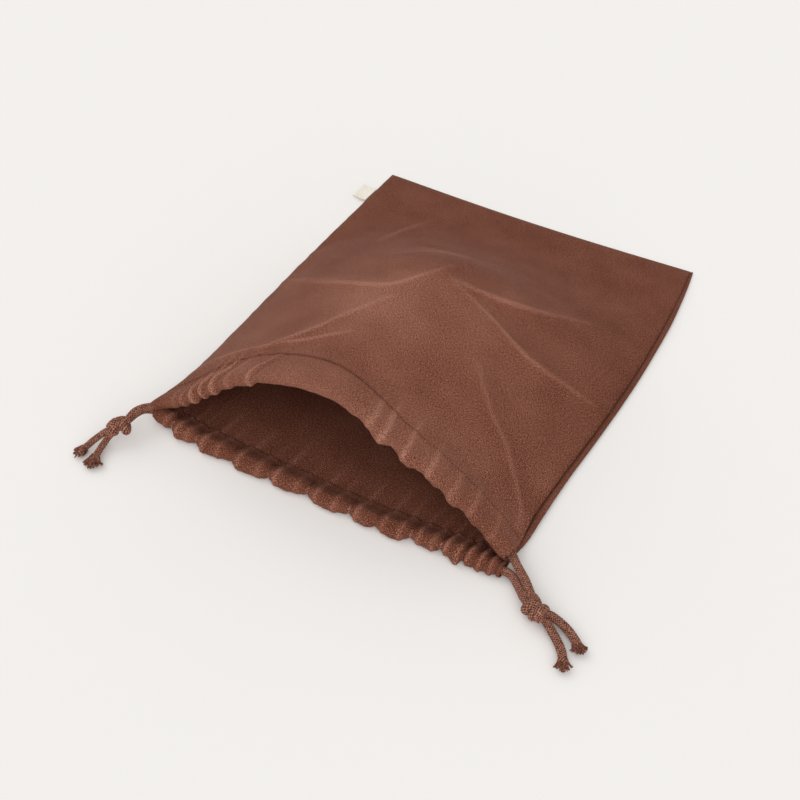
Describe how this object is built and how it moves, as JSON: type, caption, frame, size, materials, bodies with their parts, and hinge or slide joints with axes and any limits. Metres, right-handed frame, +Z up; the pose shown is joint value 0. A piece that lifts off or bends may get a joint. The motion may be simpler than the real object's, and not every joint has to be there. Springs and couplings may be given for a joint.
{
  "type": "drawstring bread bag",
  "caption": "Drawstring bread bag of brown linen, lying flat with its mouth propped open, gathered casings, knotted braided cords and a small side label.",
  "frame": {"origin": "on the surface that the bag lies on, under the middle of the cloth's box (cords left out)", "axes": "+X across the bag to its right seam, +Y from the open mouth to the closed end, +Z up"},
  "size_m": [0.3717, 0.4049, 0.0841],
  "materials": {
    "linen": "matte plain weave, fine speckle",
    "cord": "matte braided cotton",
    "label": "smooth woven tape"
  },
  "bodies": {
    "root": {"front_panel": "linen", "back_panel": "linen", "drawcord_front": "cord", "drawcord_back": "cord", "knot_left": "cord", "knot_right": "cord", "tail_left_1": "cord", "tail_left_2": "cord", "tail_right_1": "cord", "tail_right_2": "cord", "label": "label"}
  },
  "joints": []
}
